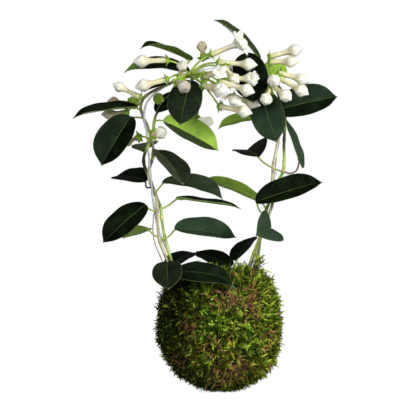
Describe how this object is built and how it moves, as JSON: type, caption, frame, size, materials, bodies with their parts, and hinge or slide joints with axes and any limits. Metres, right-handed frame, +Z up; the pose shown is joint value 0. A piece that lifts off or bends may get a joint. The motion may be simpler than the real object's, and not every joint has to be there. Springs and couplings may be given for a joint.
{
  "type": "kokedama moss ball plant",
  "caption": "Moss-wrapped ball of soil with a waxy white-flowered vine that twines up a wire hoop, resting on a small flat spot.",
  "frame": {"origin": "middle of the small flat spot that the moss ball rests on", "axes": "+Z up; +X towards the picture's right; the picture looks along +Y"},
  "size_m": [0.2636, 0.1435, 0.3737],
  "materials": {
    "wire": "satin",
    "bark": "matte",
    "green_stem": "satin",
    "dry_stem": "matte",
    "leaf": "satin",
    "pale_leaf": "satin",
    "petal": "satin",
    "soil": "matte",
    "moss": "matte"
  },
  "bodies": {
    "root": {"wire_hoop": "wire", "vine_left_woody": "bark", "vine_right_woody": "bark", "vine_left_green": "green_stem", "vine_right_green": "green_stem", "dry_stem": "dry_stem", "leaf_left_flat": "leaf", "leaf_left_broad": "leaf", "leaf_crown_left": "leaf", "leaf_crown_back": "leaf", "leaf_behind_heart": "leaf", "leaf_heart_left": "leaf", "leaf_drooping_left": "leaf", "leaf_middle_left": "leaf", "leaf_back_left": "leaf", "leaf_low_left": "leaf", "leaf_low_left_back": "leaf", "leaf_edge_on": "leaf", "leaf_low_middle": "leaf", "leaf_slim_left": "leaf", "leaf_topmost": "leaf", "leaf_heart_crown": "leaf", "leaf_right_broad": "leaf", "leaf_right_hanging": "leaf", "leaf_folded_right": "leaf", "leaf_notched": "leaf", "leaf_right_low": "leaf", "leaf_heart_low": "leaf", "leaf_foot_raised": "leaf", "leaf_foot_back": "leaf", "leaf_foot_behind": "leaf", "leaf_on_moss": "leaf", "leaf_foot_round": "leaf", "leaf_young": "pale_leaf", "leaf_pale_middle": "pale_leaf", "leaf_pale_right": "pale_leaf", "leaf_round_pale": "pale_leaf", "leaf_small_pale": "pale_leaf", "umbel_crown": "petal", "umbel_right": "petal", "umbel_left": "petal", "umbel_low": "petal", "umbel_back": "petal", "soil_core": "soil", "moss_wrap": "moss"}
  },
  "joints": []
}
